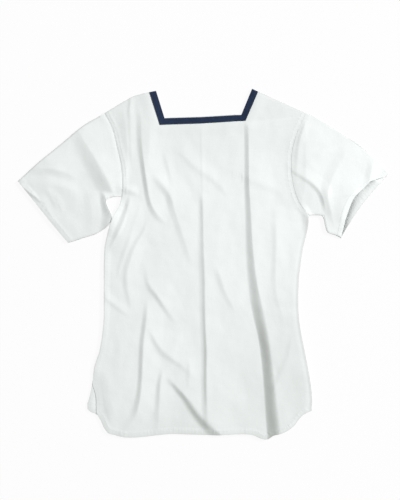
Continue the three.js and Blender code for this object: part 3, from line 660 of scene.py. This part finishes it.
def mark_seams(piece, seams, edges):
    """Keeps how far seams gather each point, how far along its seam that is, and how much shade is painted
    on it near an edge

    seams are lines with their strength. edges are lines with the strength of the shade painted along them
    and its reach.
    """
    x, y = points_of(piece)[:, :2].T
    away, along = np.array([nearest([line], x, y) for line, _ in seams]).transpose(1, 0, 2)
    order = np.sort(away, axis=0)
    closest = away.argmin(axis=0)
    strength = np.array([share for _, share in seams])[closest]
    gathered = strength * np.clip(1 - np.abs(order[0] - PUCKER_PLACE) / PUCKER_REACH, 0, 1)
    mark(piece, "gathered", gathered * smooth((order[1] - order[0]) / PUCKER_FADE))
    mark(piece, "along_seam", along[closest, np.arange(len(x))] * MM)
    # Painted shade along the cloth's edges, where a rolled edge turns from the light
    mark(piece, "painted_edge_shade", np.max([
        share * smooth(1 - nearest([line], x, y)[0] / reach) for line, share, reach in edges
    ], axis=0))


class Socket:
    """A shader node's output, on which sums are written as Python sums"""

    def __init__(self, tree, output):
        self.tree = tree
        self.output = output

    def node(self, kind, settings, sockets, result=0):
        """Adds a node: its settings are set first, then the values or links of its sockets"""
        made = self.tree.nodes.new(kind)
        for name, value in settings.items():
            setattr(made, name, value)
        for name, value in sockets.items():
            if isinstance(value, Socket):
                self.tree.links.new(value.output, made.inputs[name])
            else:
                made.inputs[name].default_value = value
        return Socket(self.tree, made.outputs[result])

    def math(self, operation, first, second=0.0):
        return self.node("ShaderNodeMath", {"operation": operation}, {0: first, 1: second})

    def x_and_y(self):
        """The first two parts of a vector"""
        parts = self.node("ShaderNodeSeparateXYZ", {}, {"Vector": self})
        return parts, Socket(self.tree, parts.output.node.outputs["Y"])

    def noise(self, scale, detail, roughness=0.5):
        """Noise at the place that a vector gives, with this many waves to a metre"""
        sockets = {"Vector": self, "Scale": scale, "Detail": detail, "Roughness": roughness}
        return self.node("ShaderNodeTexNoise", {}, sockets)

    def bumps(self, strength, height):
        """A normal that shows this relief, whose full height is in millimetres"""
        sockets = {"Height": self, "Strength": strength, "Distance": height * MM}
        return self.node("ShaderNodeBump", {}, sockets)

    def between(self, one, two):
        """The colour that lies this share of the way from one colour to another"""
        return self.node("ShaderNodeMix", {"data_type": "RGBA"}, {"Factor": self, 6: one, 7: two}, 2)

    def __add__(self, other):
        return self.math("ADD", self, other)

    def __sub__(self, other):
        return self.math("SUBTRACT", self, other)

    def __rsub__(self, other):
        return self.math("SUBTRACT", other, self)

    def __mul__(self, other):
        return self.math("MULTIPLY", self, other)

    __radd__ = __add__
    __rmul__ = __mul__


def new_finish(name):
    """A new material: its principled shader and the object coordinates to draw patterns on"""
    finish = bpy.data.materials.new(name)
    finish.use_nodes = True
    tree = finish.node_tree
    shader = tree.nodes["Principled BSDF"]
    coordinates = tree.nodes.new("ShaderNodeTexCoord")
    return finish, shader, Socket(tree, coordinates.outputs["Object"])


def feed(shader, sockets):
    """Feeds a shader's sockets with values that change over the surface"""
    for name, value in sockets.items():
        value.tree.links.new(value.output, shader.inputs[name])


GREYEST_DRILL, WHITEST_DRILL = (0.735, 0.760, 0.752, 1), (0.842, 0.862, 0.862, 1)
# The colour that the painted shade along the cloth's edges greys it towards
EDGE_SHADE_DRILL = (0.48, 0.49, 0.48, 1)
# The twill's ribs: their pitch, the direction across them, and how far they wander
TWILL_PITCH, TWILL_X, TWILL_Y, TWILL_WANDER = 1.25, 0.86, -0.5, 3.0


def drill_finish(name, turn, tone, painted_shade_zones):
    """White cotton drill: the angle of its twill, how light it is, which on the sleeves includes painted
    light, and its zones of painted shade
    """
    finish, shader, place = new_finish(name)
    grain = place.node("ShaderNodeMapping", {}, {"Vector": place, "Rotation": (0, 0, turn)})
    x, y = grain.x_and_y()
    across = (x * TWILL_X + y * TWILL_Y) * (2 * math.pi / (TWILL_PITCH * MM))
    across = across + grain.noise(90, 2) * TWILL_WANDER
    twill = across.math("SINE", across)
    yarns = grain.noise(1400, 1)
    slubs = grain.node("ShaderNodeMapping", {}, {"Vector": grain, "Scale": (14, 420, 1)}).noise(1, 3)
    rumple = grain.noise(85, 4, 0.6)
    cockle = grain.noise(330, 2)
    clouds = grain.noise(16, 3)

    gathered = place.node("ShaderNodeAttribute", {"attribute_name": "gathered"}, {}, "Fac")
    along_seam = place.node("ShaderNodeAttribute", {"attribute_name": "along_seam"}, {}, "Fac")
    painted_edge_shade = place.node("ShaderNodeAttribute", {"attribute_name": "painted_edge_shade"}, {}, "Fac")
    pucker = along_seam.node(
        "ShaderNodeTexNoise", {"noise_dimensions": "1D"}, {"W": along_seam, "Scale": 190, "Detail": 2}
    )

    weave = twill * 0.08 + yarns * 0.12 + slubs * 0.10
    relief = weave + rumple * 0.6 + cockle * 0.22 + pucker * gathered * 1.5
    shade = (clouds - 0.5) * 0.12 + (slubs - 0.5) * 0.10 + (cockle - 0.5) * 0.25 + twill * 0.01 + tone
    place_x, place_y = place.x_and_y()
    # Zones of painted shade darken the cloth's tone
    for along_x, along_y, start, end, amount in painted_shade_zones:
        zone = place.node(
            "ShaderNodeMapRange", {"interpolation_type": "SMOOTHSTEP"},
            {0: place_x * along_x + place_y * along_y, 1: start, 2: end},
        )
        shade = shade - zone * amount
    before_edge_shade = shade.between(GREYEST_DRILL, WHITEST_DRILL)
    # Along its edges shade is painted on the cloth, greying its colour there
    feed(shader, {
        "Base Color": (painted_edge_shade * 0.5).between(before_edge_shade, EDGE_SHADE_DRILL),
        "Normal": relief.bumps(0.7, 0.45),
        "Roughness": 0.9 - slubs * 0.08,
    })
    shader.inputs["Specular IOR Level"].default_value = 0.25
    shader.inputs["Sheen Weight"].default_value = 0.12
    shader.inputs["Sheen Roughness"].default_value = 0.5
    return finish


def finish_panel(piece, height, seams, edges, turned=()):
    """Sets the cloth's heights, marks, thickness and material, and puts it in its place"""
    points = points_of(piece)
    points[:, 2] = height(points[:, 0], points[:, 1])
    set_points(piece, points)
    mark_seams(piece, seams, edges)
    if turned:
        turn_down(piece, FRONT_TURNS, turned)
    thicken(piece, CLOTH, SIDE_SLIT if turned else None)
    piece.data.materials.append(body_drill)
    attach(piece, "root")


refine(front, 2)
# Each zone of painted shade on the body, darker towards the lower right and towards the shoulders: shares
# of x and y, where it starts and is full in metres, and how grey it is
BODY_PAINTED_SHADE = [(-0.8, 1.0, -0.10, -0.36, 0.42), (0.0, 1.0, 0.16, 0.30, 0.42)]
body_drill = drill_finish("white_drill_body", 0.0, 0.5, BODY_PAINTED_SHADE)
body_seams = [
    (front_lines["hem"], 1.0), (front_lines["armhole_left"], 0.6), (front_lines["armhole_right"], 0.6),
    (front_lines["side_left"], 0.5), (front_lines["side_right"], 0.3),
]
# Shade is painted along these edges of the front: each edge, its strength and its reach, most of all beside
# the right side seam
front_rim = [
    (front_lines["hem"], 0.6, EDGE_SHADE_REACH), (front_lines["side_left"], 0.05, EDGE_SHADE_REACH),
    (front_lines["side_right"], 1.2, WIDE_EDGE_SHADE_REACH),
    (front_lines["shoulder_left"], 0.6, EDGE_SHADE_REACH), (front_lines["shoulder_right"], 0.8, EDGE_SHADE_REACH),
]
finish_panel(front, front_height, body_seams, front_rim, closed_edges)
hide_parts("front")

# Back panel
# The other large piece of the same drill, cut a little longer at its lower left corner. It lies
# face down on the surface, pressed flat but for shallow creases.
BACK_TURNS = dict(FRONT_TURNS, hem=(-232.4, -289.0), side_right=(214.6, -289.0))
BACK_NECK_CORNERS = [(-78.0, 293.2), (75.0, 299.7)]
# The solids' skins that face down lie below this height, the raised neck edge as well
LOWER_SKIN_BELOW = 1.15
# Each crease: its steep reach, its gentle reach, and x, y and height along its crest
BACK_CREASES = [
    (9, 16, [(-60, 262, 0), (-66, 190, 0.9), (-58, 120, 0.8), (-70, 60, 0)]),
    (12, 20, [
        (88, 240, 0), (96, 150, 1.0), (92, 40, 0.9), (110, -80, 1.1), (124, -190, 0.8), (132, -290, 0),
    ]),
    (8, 12, [(-4, 276, 0), (-2, 140, 0.6), (2, 0, 0.5), (5, -160, 0.6), (6, -290, 0)]),
    (10, 18, [(-150, 96, 0), (-128, 30, 0.8), (-136, -60, 1.0), (-118, -150, 0.6), (-124, -240, 0)]),
    (8, 14, [(40, 96, 0), (16, 44, 0.7), (24, -20, 0.8), (-6, -84, 0)]),
    (9, 15, [(180, 60, 0), (158, 6, 0.8), (164, -62, 0.6), (150, -120, 0)]),
]


def back_height(x, y):
    height = neck_lift(x, y) + slit_lift(x, y)
    for steep, gentle, crest in BACK_CREASES:
        height = height + fold_height([(*place, steep, gentle) for place in crest], x, y)
    return height


def is_bottom(points, corners, normals):
    highest = np.array([points[c, 2].max() for c in corners])
    return (normals[:, 2] < -0.2) & (highest < LOWER_SKIN_BELOW)


back = outer_skin("back", is_bottom)
back_edges = cut_outline(outline(back)[0], points_of(back), BACK_TURNS)
crease_corners(back, list(BACK_TURNS.values()) + BACK_NECK_CORNERS)
split_long_cells(back, back_edges["side_left"] + back_edges["side_right"], LONGEST_SIDE_CELL)
back_ring = outline(back)[0]
back_rim = [tuple(points_of(back)[number, :2]) for number in back_ring + back_ring[:1]]
refine(back, 2)
back_seams = [(back_rim, 1.0), (front_lines["neck"], 0.0)]
# Shade is painted along the back's edges
finish_panel(back, back_height, back_seams, [(back_rim, 0.4, EDGE_SHADE_REACH)])
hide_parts("back")

# Sleeves
# Two short sleeves, each one piece of drill sewn into a tube, with a turned hem. They lie flat at
# an angle to the body; the right cuff stands open a little.
# How far the folded edges round out; each sleeve's twill angle; its lightness, with painted light that
# makes the right sleeve lighter than the left; and its zones of painted shade, which darken the right
# sleeve towards the body
SLEEVE_BULGE = 0.7
SLEEVE_TURN = {"left": math.radians(-52), "right": math.radians(52)}
SLEEVE_TONE_WITH_PAINTED_LIGHT = {"left": 0.48, "right": 0.62}
SLEEVE_PAINTED_SHADE = {"left": [], "right": [(1.0, 0.0, 0.31, 0.19, 0.52)]}
# The right cuff stands open. Its upper lip is drawn back from the hem, at its middle by SOLID_DRAWN
# in the solid and further here by LIP_DRAWN at shares of the hem from the top, fading over LIP_REACH.
CUFF_CORNERS = np.array([SLEEVE_HEMS[1][0], SLEEVE_HEMS[1][-1]])
SOLID_DRAWN = 12
LIP_SHARES = [0, 0.08, 0.12, 0.18, 0.3, 0.42, 0.52, 0.6, 0.7, 0.85, 1]
LIP_DRAWN = [0, -2, 4, 13, 13, 16, 14, 11, 7.5, 2.5, 0]
LIP_REACH = 50
# The lip is drawn back along x, and this share of that is its distance from the slanting hem
AWAY_FROM_HEM = 0.77
# The lip stands up along this fold, whose rows are as in FOLDS
CUFF_LIP = [
    (326.0, 173.0, 0.6, 34, 44), (309.6, 154.5, 1.5, 38, 44), (294.6, 138.5, 2.0, 40, 44),
    (284.6, 122.5, 2.1, 40, 44), (277.6, 100.5, 1.8, 34, 40), (274.6, 83.0, 1.0, 26, 30),
    (268.0, 66.0, 0.0, 16, 16),
]
# Beyond the lip the lower layer curls up towards its hem
CURL, CURL_REACH = 5.6, 6
# In the solid the upper layer is all above the first height, the lower skin all below the second,
# and the ends of an upright edge lie this near each other in plan
UPPER_FROM, ON_SURFACE, UPRIGHT = 2, 0.05, 0.05


def is_tube_outside(points, corners, normals):
    """Faces of the upper skin, of the lower skin, and between them at the folded edges"""
    lowest = np.array([points[c, 2].min() for c in corners])
    top = (normals[:, 2] > 0.05) & (lowest > UPPER_FROM)
    outer_points = points[:, 2] < ON_SURFACE
    for number in np.flatnonzero(top):
        outer_points[corners[number]] = True
    return np.array([outer_points[c].all() for c in corners])


def cuff_lip(x, y):
    """Beside places by the right cuff: how much further the lip is drawn back than in the solid, how
    far it is drawn back in the solid, and how far the place is from the hem"""
    run = CUFF_CORNERS[1] - CUFF_CORNERS[0]
    share = ((x - CUFF_CORNERS[0, 0]) * run[0] + (y - CUFF_CORNERS[0, 1]) * run[1]) / (run @ run)
    in_solid = SOLID_DRAWN * np.sin(np.pi * np.clip(share, 0, 1))
    return np.interp(share, LIP_SHARES, LIP_DRAWN), in_solid, nearest([SLEEVE_HEMS[1]], x, y)[0]


def draw_back(x, y):
    """Where the upper layer of the right sleeve lies once its lip is drawn back"""
    more, in_solid, to_hem = cuff_lip(x, y)
    return x - more * smooth(1 - (to_hem - AWAY_FROM_HEM * in_solid) / LIP_REACH)


def sleeve_height(x, y, side, to_lip):
    """Height of a sleeve's upper layer, whose hem is so far away"""
    height = upper_height(x, y) + HEM_EXTRA * smooth((HEM_WIDTH + HEM_STEP - to_lip) / HEM_STEP)
    if side == "right":
        height = height + fold_height(CUFF_LIP, x, y) * smooth(nearest(turned_lines, x, y)[0] / FOLD_FADE)
    return height


for side in ("left", "right"):
    sleeve = outer_skin("sleeve_" + side, is_tube_outside)
    points = points_of(sleeve)
    mark(sleeve, "upper_share", points[:, 2] > UPPER_FROM)
    wall_edges = [
        edge.index for edge in sleeve.data.edges
        if np.hypot(*(points[edge.vertices[0]] - points[edge.vertices[1]])[:2]) < UPRIGHT
    ]
    upright = {number for edge in wall_edges for number in sleeve.data.edges[edge].vertices}
    folded = [
        edge.index for edge in sleeve.data.edges
        if set(edge.vertices) <= upright and edge.index not in wall_edges
    ]
    choose(sleeve, "EDGE", folded)
    bpy.ops.transform.edge_crease(value=1)
    bpy.ops.object.mode_set(mode="OBJECT")
    refine(sleeve, 3)
    points = points_of(sleeve)
    share = marks_of(sleeve, "upper_share")
    outwards = np.array([vertex.normal for vertex in sleeve.data.vertices])
    bulge = SLEEVE_BULGE * 4 * share * (1 - share)
    x, y = points[:, 0], points[:, 1]
    to_lip = nearest(SLEEVE_HEMS, x, y)[0]
    lower = 0
    if side == "right":
        more, in_solid, to_hem = cuff_lip(x, y)
        bare = np.clip(AWAY_FROM_HEM * (in_solid + more) - to_hem, 0, None)
        lower = CURL * (1 - np.exp(-bare / CURL_REACH))
        to_lip = np.abs(to_hem - AWAY_FROM_HEM * in_solid)
        x = share * draw_back(x, y) + (1 - share) * x
    points[:, 2] = share * sleeve_height(x, y, side, to_lip) + (1 - share) * lower
    points[:, 0] = x + outwards[:, 0] * bulge
    points[:, 1] = y + outwards[:, 1] * bulge
    set_points(sleeve, points)
    armhole = front_lines["armhole_" + side]
    hem = SLEEVE_HEMS[side == "right"]
    # Shade is painted along the sleeve's folded edges and its hem
    sleeve_rim = [
        (SLEEVE_EDGES[side + "_top"], 0.7, EDGE_SHADE_REACH), (SLEEVE_EDGES[side + "_under"], 0.5, EDGE_SHADE_REACH),
        (hem, 0.4, EDGE_SHADE_REACH),
    ]
    mark_seams(sleeve, [(hem, 0.8), (armhole, 0.4)], sleeve_rim)
    thicken(sleeve, CLOTH)
    sleeve_drill = drill_finish(
        "white_drill_sleeve_" + side, SLEEVE_TURN[side], SLEEVE_TONE_WITH_PAINTED_LIGHT[side], SLEEVE_PAINTED_SHADE[side]
    )
    sleeve.data.materials.append(sleeve_drill)
    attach(sleeve, "root")
    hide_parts("sleeve_" + side)

# Neck tape
# Half-inch navy cotton tape, sewn flat round the square neck with mitred corners. One length is
# on the front and another on the outside of the back, underneath here.
TAPE_THICKNESS, TAPE_GAP, RIB_PITCH = 0.8, 0.05, 1.1
DARKEST_NAVY, LIGHTEST_NAVY = (0.006, 0.013, 0.036, 1), (0.018, 0.035, 0.082, 1)


def tape_finish():
    finish, shader, place = new_finish("navy_tape")
    x, y = place.x_and_y()
    across = (x + y) * (2 * math.pi / (RIB_PITCH * MM))
    ribs = across.math("SINE", across)
    fluff = place.noise(260, 4)
    fade = place.noise(40, 2)
    shade = (fade - 0.5) * 0.7 + (fluff - 0.5) * 0.5 + ribs * 0.06 + 0.5
    feed(shader, {
        "Base Color": shade.between(DARKEST_NAVY, LIGHTEST_NAVY),
        "Normal": (ribs * 0.5 + fluff * 0.8).bumps(0.6, 0.3),
        "Roughness": 0.92 - fluff * 0.1,
    })
    shader.inputs["Specular IOR Level"].default_value = 0.2
    shader.inputs["Sheen Weight"].default_value = 0.1
    return finish


def tape_height(x, y):
    """Height of the outside of the tape on the front"""
    return front_height(x, y) + TAPE_GAP + TAPE_THICKNESS


navy = tape_finish()
tapes = [("neck_tape_front", is_top, "shirt_front"), ("neck_tape_back", is_bottom, "surface")]
for node, is_outside, under in tapes:
    tape = outer_skin(node, is_outside)
    work_on(tape)
    finer = tape.modifiers.new("finer", "SUBSURF")
    finer.subdivision_type = "SIMPLE"
    finer.levels = finer.render_levels = 3
    bpy.ops.object.modifier_apply(modifier=finer.name)
    points = points_of(tape)
    if node == "neck_tape_front":
        points[:, 2] = tape_height(points[:, 0], points[:, 1])
        set_points(tape, points)
    thicken(tape, TAPE_THICKNESS)
    tape.data.materials.append(navy)
    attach(tape, "root")
    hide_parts(node)

# Stitches
# Rows of lockstitch in cotton thread: round the turned hems, beside the armholes and along both
# edges of the tape. One stitch is modelled, then copied along every row.
STITCH_LENGTH, STITCH_WIDTH, STITCH_HEIGHT, STITCH_PITCH = 2.3, 0.55, 0.32, 3.2
# A row lies this far in from the edge of a hem or of the tape, and of the felled armhole. A sleeve's
# hem is followed in steps of this length.
EDGE_TO_ROW, FELL_TO_ROW, HEM_FOLLOW = 1.5, 1.8, 4


def beside_line(line, distance):
    """A line moved to its left by a distance, with mitred corners"""
    line = np.array(line)
    runs = np.diff(line, axis=0)
    runs = runs / np.hypot(*runs.T)[:, None]
    lefts = np.column_stack([-runs[:, 1], runs[:, 0]])
    one, two = np.vstack([lefts[:1], lefts]), np.vstack([lefts, lefts[-1:]])
    mitred = (one + two) / (1 + (one * two).sum(axis=1))[:, None]
    return line + distance * mitred


def along_line(line, pitch):
    """Places at even steps along a line"""
    line = np.array(line)
    passed = np.concatenate([[0], np.cumsum(np.hypot(*np.diff(line, axis=0).T))])
    steps = np.arange(pitch / 2, passed[-1], pitch)
    return np.interp(steps, passed, line[:, 0]), np.interp(steps, passed, line[:, 1])


def stitch_mesh():
    deselect()
    bpy.ops.mesh.primitive_uv_sphere_add(segments=6, ring_count=4, radius=0.5)
    stitch = bpy.context.object
    bpy.ops.object.mode_set(mode="EDIT")
    bpy.ops.transform.resize(value=(STITCH_LENGTH * MM, STITCH_WIDTH * MM, STITCH_HEIGHT * MM))
    bpy.ops.object.mode_set(mode="OBJECT")
    shape, faces = points_of(stitch), [list(face.vertices) for face in stitch.data.polygons]
    bpy.ops.object.delete()
    return shape, faces


def sew(name, rows, thread):
    """One piece with a stitch at every step along some rows, each a line with its cloth's height"""
    shape, faces = stitch_mesh()
    points, corners = [], []
    for line, height in rows:
        x, y = along_line(line, STITCH_PITCH)
        ahead = np.arctan2(np.gradient(y), np.gradient(x))
        cos, sin = np.cos(ahead), np.sin(ahead)
        reach = STITCH_LENGTH / 2
        rise = (height(x + cos * reach, y + sin * reach) - height(x - cos * reach, y - sin * reach)) / 2
        middle = height(x, y) + STITCH_HEIGHT / 4
        for place in range(len(x)):
            turned = shape[:, 0] * cos[place] - shape[:, 1] * sin[place]
            across = shape[:, 0] * sin[place] + shape[:, 1] * cos[place]
            level = middle[place] + rise[place] * shape[:, 0] / reach + shape[:, 2]
            corners += [[corner + len(points) * len(shape) for corner in face] for face in faces]
            points.append(np.column_stack([x[place] + turned, y[place] + across, level]))
    mesh = bpy.data.meshes.new(name)
    mesh.from_pydata((np.vstack(points) * MM).tolist(), [], corners)
    piece = bpy.data.objects.new(name, mesh)
    bpy.context.collection.objects.link(piece)
    work_on(piece)
    bpy.ops.object.shade_smooth()
    piece.data.materials.append(thread)
    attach(piece, "root")


def thread_finish(name, dark, light):
    finish, shader, place = new_finish(name)
    ply = place.noise(900, 2)
    feed(shader, {
        "Base Color": ply.between(dark, light), "Normal": ply.bumps(0.5, 0.1), "Roughness": 0.7 + ply * 0.2,
    })
    shader.inputs["Sheen Weight"].default_value = 0.2
    return finish


def sleeve_row(side):
    """The row round a sleeve's hem, on its upper layer"""
    hem_to_row = HEM_WIDTH - EDGE_TO_ROW
    line = np.column_stack(along_line(SLEEVE_HEMS[side == "right"], HEM_FOLLOW))
    if side == "right":
        more, in_solid, _ = cuff_lip(*line.T)
        line[:, 0] -= more + in_solid
    line = beside_line(line, hem_to_row if side == "left" else -hem_to_row)
    return line, lambda x, y: sleeve_height(x, y, side, np.full(len(x), hem_to_row))


white_thread = thread_finish("white_thread", (0.66, 0.68, 0.67, 1), (0.80, 0.82, 0.82, 1))
navy_thread = thread_finish("navy_thread", (0.012, 0.022, 0.05, 1), (0.03, 0.05, 0.10, 1))
front_rows = [(beside_line(front_lines["hem"], HEM_WIDTH - EDGE_TO_ROW), front_height)] + [
    (beside_line(line, distance), front_height)
    for line in armhole_lines for distance in (FELL_TO_ROW, FELL_WIDTH - FELL_TO_ROW)
]
tape_rows = [
    (beside_line(front_lines["neck"], distance), tape_height)
    for distance in (EDGE_TO_ROW, TAPE_WIDTH - EDGE_TO_ROW)
]
sew("shirt_stitches_front", front_rows, white_thread)
sew("shirt_stitches_sleeves", [sleeve_row("left"), sleeve_row("right")], white_thread)
sew("shirt_stitches_tape", tape_rows, navy_thread)

# Floor, light and camera
# A pale floor, one large soft light from the right and above, and a camera straight overhead.
floor_finish, floor_shader, _ = new_finish("pale_floor")
floor_shader.inputs["Base Color"].default_value = (0.05, 0.05, 0.05, 1)
floor_shader.inputs["Emission Color"].default_value = (1, 1, 1, 1)
floor_shader.inputs["Emission Strength"].default_value = 0.93
floor_shader.inputs["Roughness"].default_value = 1
floor_shader.inputs["Specular IOR Level"].default_value = 0
deselect()
FLOOR_BELOW = 0.4
bpy.ops.mesh.primitive_plane_add(size=40, location=(0, 0, -FLOOR_BELOW * MM))
floor = bpy.context.object
floor.name = "floor"
floor.data.materials.append(floor_finish)

KEY_PLACE = Vector((6.6, 3.2, 4.5))
deselect()
bpy.ops.object.light_add(type="AREA", location=KEY_PLACE)
key = bpy.context.object
key.data.shape = "DISK"
key.data.size = 1.8
key.data.energy = 1035
key.data.color = (0.975, 0.985, 1.0)
key.rotation_euler = (-KEY_PLACE).to_track_quat("-Z", "Y").to_euler()
world = bpy.data.worlds.new("room")
bpy.context.scene.world = world
world.use_nodes = True
world.node_tree.nodes["Background"].inputs["Color"].default_value = (0.985, 1.0, 0.94, 1)
world.node_tree.nodes["Background"].inputs["Strength"].default_value = 0.36
bpy.context.scene.view_settings.view_transform = "Standard"

CAMERA_PLACE = Vector((-7.4, 28.5, 2361.0)) * MM
deselect()
bpy.ops.object.camera_add(location=CAMERA_PLACE, rotation=(0, 0, 0))
camera = bpy.context.object
camera.data.lens = 85
camera.data.sensor_width = 36
bpy.context.scene.camera = camera

bpy.context.view_layer.update()
